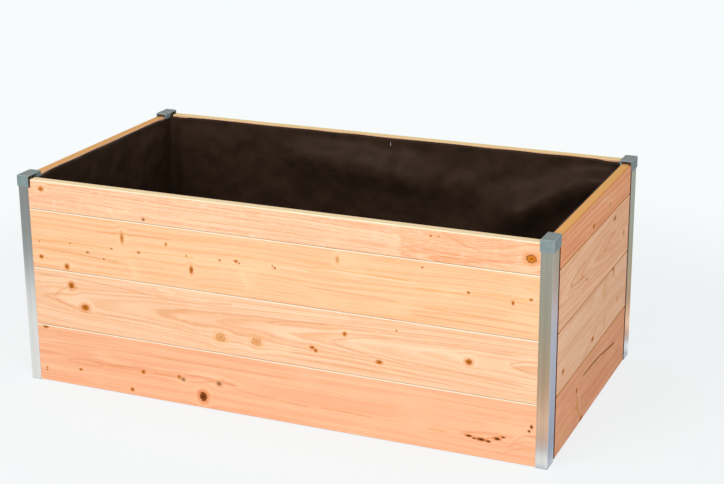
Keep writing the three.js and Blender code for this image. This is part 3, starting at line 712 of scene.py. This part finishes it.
def brushedMaterial(spec):
    material, g = newMaterial("brushed_metal")
    x, y, z = place = g.millimetres()
    lines = g.grain(place, spec["lineSize"], 3.0, 0.7)
    bands = g.grain(place, spec["bandSize"], 1.0)
    cloud = g.grain(place, spec["cloudSize"], 2.0)
    shaded = lines.shown(*spec["lineShade"]) + bands.shown(*spec["bandShade"]) + cloud * spec["cloudShade"]
    colour = g.mix(shaded.held(), tone(*spec["colour"]), tone(*spec["shade"]))
    fromX, fromY = postHalfX - x.size(), postHalfY - y.size()
    arris, skin = spec["arris"], spec["skin"]
    frontLines = fromX.edge(*arris) + (fromX - spec["frontLeg"]).size().edge(*arris)
    sideLines = fromY.edge(*arris) + (fromY - spec["sideLeg"]).size().edge(*arris)
    # painted highlight: the arrises and the legs' ends are painted bright
    worn = (frontLines * fromY.edge(*skin) + sideLines * fromX.edge(*skin)).held()
    colour = g.mix(worn * spec["arrisHighlightShow"], colour, tone(*spec["bright"]))
    roughness = spec["roughness"] + lines * spec["lineRoughness"] + cloud * spec["cloudRoughness"]
    g.surface({"Base Color": colour, "Metallic": 1.0, "Roughness": roughness,
               "Normal": g.bump(lines, 0.25, spec["bumpHeight"])})
    return material


# Caps: moulded grey plastic with a fine sparked texture, the top face painted darker as painted shade, and a
# painted highlight on the edges. Millimetres.
cap = {"colour": (133, 150, 151), "shade": (120, 136, 138), "top": (122, 132, 129), "edge": (186, 200, 202),
       "gritSize": (0.35, 0.35, 0.35), "cloudSize": (14.0, 14.0, 14.0), "cloudShade": (0.35, 0.7, 0.6),
       "bevel": 1.2, "bevelFade": 0.3, "upright": (1.6, 0.9), "edgeHighlightShow": 0.65,
       "skin": (0.08, 0.03),  # depths below the top between which the top's painted shade fades
       "roughness": 0.42, "gritRoughness": 0.12, "bumpHeight": 0.00005, "gloss": 0.3}


def mouldedMaterial(spec):
    material, g = newMaterial("moulded_grey")
    x, y, z = place = g.millimetres()
    halfX, halfY, crown = (1000 * reach for reach in cadBox[1])
    grit = g.grain(place, spec["gritSize"], 2.0, 0.6)
    cloud = g.grain(place, spec["cloudSize"], 2.0)
    colour = g.mix(cloud.shown(*spec["cloudShade"]), tone(*spec["colour"]), tone(*spec["shade"]))
    under, face = (crown - depth for depth in spec["skin"])
    # painted shade: the top face is painted darker
    colour = g.mix(z.edge(under, face), colour, tone(*spec["top"]))
    # painted highlight on the top bevel and the upright corners
    bevelFoot = crown - spec["bevel"]
    bevel = z.edge(bevelFoot, bevelFoot + spec["bevelFade"]) * z.edge(face, under)
    upright = (halfX - x.size() + (halfY - y.size())).edge(*spec["upright"])
    colour = g.mix((bevel + upright).held() * spec["edgeHighlightShow"], colour, tone(*spec["edge"]))
    g.surface({"Base Color": colour, "Roughness": spec["roughness"] + grit * spec["gritRoughness"],
               "Normal": g.bump(grit, 0.35, spec["bumpHeight"]), "Specular IOR Level": spec["gloss"]})
    return material


# Screws and staples: plated steel, bright on the staples
screw = {"colour": (196, 198, 196), "shade": (170, 172, 172), "metallic": 1.0}
zinc = {"colour": (250, 250, 250), "shade": (228, 230, 232), "metallic": 0.25}
plating = {"hazeSize": (1.5, 1.5, 1.5), "hazeShade": 0.4, "roughness": 0.3, "hazeRoughness": 0.15}


def steelMaterial(name, spec):
    material, g = newMaterial(name)
    haze = g.grain(g.millimetres(), plating["hazeSize"], 3.0)
    colour = g.mix(haze * plating["hazeShade"], tone(*spec["colour"]), tone(*spec["shade"]))
    roughness = plating["roughness"] + haze * plating["hazeRoughness"]
    g.surface({"Base Color": colour, "Metallic": spec["metallic"], "Roughness": roughness})
    return material


brushedMetal = brushedMaterial(post)
mouldedGrey = mouldedMaterial(cap)
plainSteel = steelMaterial("plain_steel", screw)
brightZinc = steelMaterial("bright_zinc", zinc)
for name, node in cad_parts.items():
    if name.endswith("_post"):
        dress(node, brushedMetal)
    elif name.endswith("_cap"):
        dress(node, mouldedGrey)
    elif "_screw_" in name:
        dress(node, plainSteel)
print("metal and plastic finished")


# A grid of points, rows by columns, made a mesh whose columns close on themselves. lids close its two ends.
def gridMesh(name, points, lids):
    rows, columns = points.shape[:2]
    row, column = np.meshgrid(np.arange(rows - 1), np.arange(columns), indexing="ij")
    after = (column + 1) % columns
    quads = np.stack([row * columns + column, row * columns + after,
                      (row + 1) * columns + after, (row + 1) * columns + column], axis=-1).reshape(-1, 4)
    faces = quads.tolist()
    if lids:
        ring = np.arange(columns)
        faces += [ring[::-1].tolist(), ((rows - 1) * columns + ring).tolist()]
    mesh = bpy.data.meshes.new(name)
    mesh.from_pydata(points.reshape(-1, 3).tolist(), [], faces)
    smooth = np.ones(len(faces), dtype=bool)
    smooth[len(quads):] = False
    mesh.polygons.foreach_set("use_smooth", smooth)
    piece = bpy.data.objects.new(name, mesh)
    bpy.context.collection.objects.link(piece)
    return piece


# Liner. Metres. Folds are (wall, along, down, to along, to down, width, depth): along from the middle of
# the wall, to the right as seen from inside, and down from the top edge.
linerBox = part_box("liner")
liner = {
    "corner": 0.016,
    "thickness": 0.0012,
    "airGap": 0.0003,
    "columns": 620, "rows": 78,
    "flat": 0.012, "freeBelow": 0.06,  # band along the top that lies on the boards, and below it free folds
    "standOff": 0.005, "looseDown": 0.10, "looseAlong": 0.10,  # away from the rim and the corners
    "cornerFlat": 0.03,
    "cornerDip": 0.0035, "cornerReach": 0.043, "cornerEnd": 0.07,  # the rim drops near the caps
    "rimWave": 0.0008, "rimTurns": (23, 1.3, 9),
    "folds": [
        ("back", -0.30, 0.10, 0.06, 0.12, 0.070, 0.038),
        ("back", 0.10, 0.14, 0.38, 0.17, 0.065, 0.020),
        ("back", 0.83, 0.06, 0.52, 0.20, 0.065, 0.036),
        ("back", 0.52, 0.21, 0.22, 0.42, 0.080, 0.042),
        ("back", 0.34, 0.48, 0.16, 0.62, 0.080, 0.020),
        ("back", 0.70, 0.34, 0.56, 0.62, 0.080, 0.030),
        ("back", -0.72, 0.16, -0.50, 0.55, 0.150, 0.014),
        ("front", -0.70, 0.08, 0.10, 0.33, 0.090, 0.022),
        ("front", 0.42, 0.12, 0.56, 0.64, 0.090, 0.020),
        ("right", -0.33, 0.09, 0.06, 0.42, 0.085, 0.022),
        ("right", 0.24, 0.05, 0.10, 0.56, 0.080, 0.018),
        ("left", 0.30, 0.10, -0.10, 0.45, 0.120, 0.012),
    ],
    "pin": 0.027, "pinDepth": 0.024, "pinReach": 0.05,  # where a staple holds the cloth to the wall
    "creases": ((0.34, 0.0016, 5), (0.15, 0.0007, 7), (0.07, 0.0003, 8)),  # length, height and how many
    "creaseAngles": (0.15, 1.35), "creaseSpread": (0.7, 1.4),
    "seed": 11,
}


# How far the cloth stands in from its wall: each fold is a bell across a line, with its depth and width,
# and the staples press it flat again
def foldDepth(spec, along, down, wall):
    depth = np.zeros_like(along)
    for place, fromAlong, fromDown, toAlong, toDown, width, height in spec["folds"]:
        run = np.array([toAlong - fromAlong, toDown - fromDown])
        share = ((along - fromAlong) * run[0] + (down - fromDown) * run[1]) / (run @ run)
        held = np.clip(share, 0, 1)
        away = np.hypot(along - fromAlong - held * run[0], down - fromDown - held * run[1])
        depth += np.where(wall == place, height * np.exp(-((away / width) ** 2)), 0)
    rise = np.clip((down - spec["flat"]) / spec["freeBelow"], 0, 1)
    pinned = np.exp(-((along - spec["pin"]) ** 2 + (down - spec["pinDepth"]) ** 2) / spec["pinReach"] ** 2)
    stapled = (wall == "front") | (wall == "back")
    return depth * rise * rise * (3 - 2 * rise) * (1 - pinned * stapled)


# A sum of waves with seeded directions and phases: small creases that run with the larger ones
def creases(spec, along, down):
    draw = np.random.default_rng(spec["seed"])
    total = np.zeros_like(along)
    for size, height, count in spec["creases"]:
        for _ in range(count):
            angle = draw.uniform(*spec["creaseAngles"])
            phase = draw.uniform(0, 2 * math.pi)
            wave = size * draw.uniform(*spec["creaseSpread"])
            across = along * math.cos(angle) + down * math.sin(angle)
            total += height * np.sin(2 * math.pi * across / wave + phase)
    return total


# The liner's path is a rectangle with round corners. Each column has a point on it and the way inwards.
def linerPath(spec, halfX, halfY):
    radius = spec["corner"]
    quarter = radius * math.pi / 2
    sides = [("front", 2 * (halfX - radius)), ("right", 2 * (halfY - radius)),
             ("back", 2 * (halfX - radius)), ("left", 2 * (halfY - radius))]
    whole = sum(length for _, length in sides) + 4 * quarter
    travel = np.arange(spec["columns"]) / spec["columns"] * whole
    x, y, inX, inY, along, toCorner = (np.zeros(spec["columns"]) for _ in range(6))
    wall = np.full(spec["columns"], "front", dtype="U5")
    start = 0.0
    for turn, (side, length) in enumerate(sides):
        angle = turn * math.pi / 2
        offset = halfY if side in ("front", "back") else halfX
        here = (travel >= start) & (travel < start + length + quarter)
        step = travel[here] - start
        bend = np.clip((step - length) / quarter, 0, 1) * math.pi / 2
        flatX = np.minimum(step, length) - length / 2 + radius * np.sin(bend)
        flatY = -offset + radius * (1 - np.cos(bend))
        x[here] = flatX * math.cos(angle) - flatY * math.sin(angle)
        y[here] = flatX * math.sin(angle) + flatY * math.cos(angle)
        inX[here] = -np.sin(angle + bend)
        inY[here] = np.cos(angle + bend)
        along[here] = length / 2 - step
        toCorner[here] = length / 2 - np.abs(step - length / 2)
        wall[here] = side
        start += length + quarter
    return (x, y, inX, inY, along, np.maximum(toCorner, 0), wall), whole


# A sheet that follows the path and stands in from it by its folds and creases, from its rim to its foot
def makeLiner(spec):
    low, high = linerBox
    inset = spec["thickness"] / 2 + spec["airGap"]
    path, whole = linerPath(spec, high[0] - inset, high[1] - inset)
    x, y, inX, inY, along, toCorner, wall = path
    share = np.linspace(0, 1, spec["rows"])[:, None]
    tall = high[2] - low[2]
    down = share * tall + 0 * x[None, :]
    along = along[None, :] + 0 * down
    wall = np.broadcast_to(wall[None, :], down.shape)
    loose = np.clip(down / spec["looseDown"], 0, 1) * np.clip(toCorner / spec["looseAlong"], 0, 1)
    off = foldDepth(spec, along, down, wall) + (creases(spec, along, down) + spec["standOff"]) * loose
    off = np.maximum(off, 0.0) * np.clip(toCorner / spec["cornerFlat"], 0, 1)
    reach = (spec["cornerEnd"] - toCorner) / (spec["cornerEnd"] - spec["cornerReach"])
    rim = high[2] - spec["cornerDip"] * np.clip(reach, 0, 1)
    turns, sway, swayTurns = spec["rimTurns"]
    rim = rim - spec["rimWave"] * (1 + np.sin(along[0] * turns + sway * np.cos(along[0] * swayTurns)))
    z = rim[None, :] - share * (rim[None, :] - low[2])
    points = np.stack([x + inX * off, y + inY * off, z], axis=-1)
    piece = gridMesh("felt_liner", points, False)
    wallSheet = piece.modifiers.new("thickness", "SOLIDIFY")
    wallSheet.thickness = spec["thickness"]
    wallSheet.offset = 0.0
    return piece, (whole, tall)


felt = {"colour": (60, 44, 34), "shade": (48, 35, 26), "worn": (80, 62, 50),
        "fibreSize": (0.8, 0.8, 0.8), "cloudSize": (60.0, 60.0, 45.0), "pointSize": 2.4,  # millimetres
        "cloudEdge": (0.3, 0.7), "wornShade": (0.55, 0.8, 0.3),
        "fibreLift": 0.6, "pointLift": (0.18, 0.34, 0.5), "bumpHeight": 0.0002,
        "roughness": 0.36, "fibreRoughness": 0.12, "gloss": 0.1, "glossTone": (255, 222, 196)}


def feltMaterial(spec):
    material, g = newMaterial("brown_felt")
    place = g.millimetres()
    fibres = g.grain(place, spec["fibreSize"], 4.0, 0.7, 1.2)
    cloud = g.grain(place, spec["cloudSize"], 3.0, 0.55)
    cells = g.vector(*[part / spec["pointSize"] for part in place])
    points = g.add("ShaderNodeTexVoronoi", {}, {"Vector": cells, "Scale": 1.0})
    colour = g.mix(cloud.edge(*spec["cloudEdge"]), tone(*spec["shade"]), tone(*spec["colour"]))
    colour = g.mix(fibres.shown(*spec["wornShade"]), colour, tone(*spec["worn"]))
    lift = fibres * spec["fibreLift"] + points.shown(*spec["pointLift"])
    g.surface({"Base Color": colour, "Roughness": spec["roughness"] + fibres * spec["fibreRoughness"],
               "Normal": g.bump(lift, 0.4, spec["bumpHeight"]), "Specular IOR Level": spec["gloss"],
               "Specular Tint": tone(*spec["glossTone"])})
    return material


linerPiece, flatSize = makeLiner(liner)
dress(linerPiece, feltMaterial(felt))
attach(linerPiece, "root")
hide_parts("liner")


# Staples: round wire carried along a path with two bends, its legs in the wood. Metres.
staple = {"bend": 0.0016, "turnSteps": 7, "sides": 12}


# The path is half of the staple and its mirror image. A ring of points stands round each of its points,
# square to the way ahead.
def makeStaple(wall, spec):
    low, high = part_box(wall + "_liner_staple")
    wire = (high[0] - low[0]) / 2
    inward = -1 if wall == "back" else 1
    face = (low[1] if wall == "back" else high[1]) - inward * wire
    legDepth = high[1] - low[1] - wire
    half = (high[2] - low[2]) / 2 - wire
    turn = np.linspace(0, math.pi / 2, spec["turnSteps"])
    outward = -spec["bend"] * (1 - np.sin(turn))
    rise = half - spec["bend"] * (1 - np.cos(turn))
    upper = np.concatenate([[[-legDepth, half]], np.stack([outward, rise], axis=-1)])
    path = np.concatenate([upper, (upper * [1, -1])[::-1]])
    ahead = np.gradient(path, axis=0)
    ahead /= np.linalg.norm(ahead, axis=1)[:, None]
    side = np.stack([ahead[:, 1], -ahead[:, 0]], axis=-1)
    angle = -inward * np.arange(spec["sides"]) / spec["sides"] * 2 * math.pi
    ring = path[:, None, :] + wire * np.cos(angle)[None, :, None] * side[:, None, :]
    across = np.broadcast_to(wire * np.sin(angle), ring.shape[:2])
    middle = np.array([(low[0] + high[0]) / 2, face, (low[2] + high[2]) / 2])
    points = middle + np.stack([across, inward * ring[..., 0], ring[..., 1]], axis=-1)
    return gridMesh(wall + "_staple_wire", points, True)


for wall in ("front", "back"):
    wire = makeStaple(wall, staple)
    dress(wire, brightZinc)
    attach(wire, "root")
    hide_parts(wall + "_liner_staple")


# Floor, lamps and surroundings
stage = {
    "background": (247, 251, 252), "floor": (246, 249, 250), "ambient": 0.54, "floorHalf": 40.0,
    "shadowReach": (1.5, 2.6), "glow": 0.8,  # the floor is plain background beyond, and mostly so nearer
    # painted shade: the floor inside the bed shows dark to glossy rays
    "inside": (40, 36, 32), "insideEdge": (0.002, 0.0),
    "rampLength": 2.0,  # metres from the bed over which the floor's painted reflection changes for polished metal
    "leftShare": (-0.3, -0.95), "rightShare": (0.0, 0.1), "cornerBlend": (-0.05, 0.05),
    # painted reflection: the tones that the floor shows to glossy rays in front of, left of and right of the
    # bed
    "front": [(0.04, (252, 254, 255)), (0.065, (207, 198, 195)), (0.10, (227, 181, 158)),
              (0.15, (255, 219, 186)), (0.20, (238, 194, 160)), (0.28, (194, 162, 134)),
              (0.34, (193, 170, 142)), (0.62, (172, 171, 153)), (0.92, (175, 178, 168))],
    "left": [(0.42, (254, 255, 255)), (0.50, (236, 239, 240)), (0.60, (150, 160, 161)),
             (0.92, (154, 158, 157))],
    "right": [(0.01, (158, 170, 192)), (0.10, (190, 194, 210)), (0.50, (195, 203, 224)),
              (0.92, (174, 171, 174))],
}
lamps = {
    "key": {"place": (-1.1, -4.0, 4.2), "size": 2.0, "power": 92.0},
    "fill": {"place": (4.0, -5.8, 2.2), "size": 2.8, "power": 121.0},
}
lampTarget = (0, 0, 0.4)


def makeFloor(spec):
    half = spec["floorHalf"]
    mesh = bpy.data.meshes.new("floor")
    plan = [(-half, -half, 0), (half, -half, 0), (half, half, 0), (-half, half, 0)]
    mesh.from_pydata(plan, [], [(0, 1, 2, 3)])
    floor = bpy.data.objects.new("floor", mesh)
    bpy.context.collection.objects.link(floor)
    material, g = newMaterial("pale_floor")
    x, y, _ = g.millimetres()
    x, y = x / 1000.0, y / 1000.0
    away = distance(x, y)
    ray = g.add("ShaderNodeLightPath", {}, [])
    lit = g.add("ShaderNodeBsdfDiffuse", {}, {"Color": tone(*spec["floor"])})
    plain = g.add("ShaderNodeEmission", {}, {"Color": tone(*spec["background"]), "Strength": 1.0})
    glow = spec["glow"]
    share = (away.edge(*spec["shadowReach"]) * (1 - glow) + glow) * ray.output("Is Camera Ray")
    shown = g.add("ShaderNodeMixShader", {}, [share, lit, plain])

    # painted reflection: for glossy rays only, the floor glows in bands of tone that change with the
    # distance from the bed, set so that polished metal shows light and dark reflections
    outX = (x.size() - postHalfX / 1000.0).calc("MAXIMUM", 0.0)
    outY = (y.size() - postHalfY / 1000.0).calc("MAXIMUM", 0.0)
    out = distance(outX, outY)
    ramps = [g.add("ShaderNodeValToRGB", {"stops": spec[part]}, [out / spec["rampLength"]])
             for part in ("front", "left", "right")]
    dim = g.mix(x.edge(*spec["leftShare"]), ramps[0], ramps[1])
    beside = (outX - outY).edge(*spec["cornerBlend"]) * x.edge(*spec["rightShare"])
    dim = g.mix(beside, dim, ramps[2])
    # painted shade: inside the bed the floor is dark to glossy rays
    dim = g.mix(out.edge(*spec["insideEdge"]), dim, tone(*spec["inside"]))
    reflectionGlow = g.add("ShaderNodeEmission", {}, {"Color": dim, "Strength": 1.0})
    shiny = (ray.output("Is Glossy Ray") + ray.output("Is Transmission Ray")).calc("MINIMUM", 1.0)
    g.add("ShaderNodeOutputMaterial", {}, [g.add("ShaderNodeMixShader", {}, [shiny, shown, reflectionGlow])])
    dress(floor, material)


def makeWorld(spec):
    world = bpy.data.worlds.new("surroundings")
    world.use_nodes = True
    bpy.context.scene.world = world
    g = Graph(world.node_tree)
    ray = g.add("ShaderNodeLightPath", {}, [])
    seen = ray.output("Is Camera Ray") + ray.output("Is Glossy Ray") + ray.output("Is Transmission Ray")
    soft = g.add("ShaderNodeBackground", {}, {"Color": (1, 1, 1, 1), "Strength": spec["ambient"]})
    plain = g.add("ShaderNodeBackground", {}, {"Color": tone(*spec["background"]), "Strength": 1.0})
    sky = g.add("ShaderNodeMixShader", {}, [seen.calc("MINIMUM", 1.0), soft, plain])
    g.add("ShaderNodeOutputWorld", {}, [sky])


def makeLamp(name, spec, target):
    data = bpy.data.lights.new(name, "AREA")
    data.shape = "SQUARE"
    data.size = spec["size"]
    data.energy = spec["power"]
    lamp = bpy.data.objects.new(name, data)
    lamp.location = spec["place"]
    lamp.rotation_euler = (Vector(target) - Vector(spec["place"])).to_track_quat("-Z", "Y").to_euler()
    bpy.context.collection.objects.link(lamp)


makeFloor(stage)
makeWorld(stage)
for name, spec in lamps.items():
    makeLamp(name, spec, lampTarget)
print("stage lit")
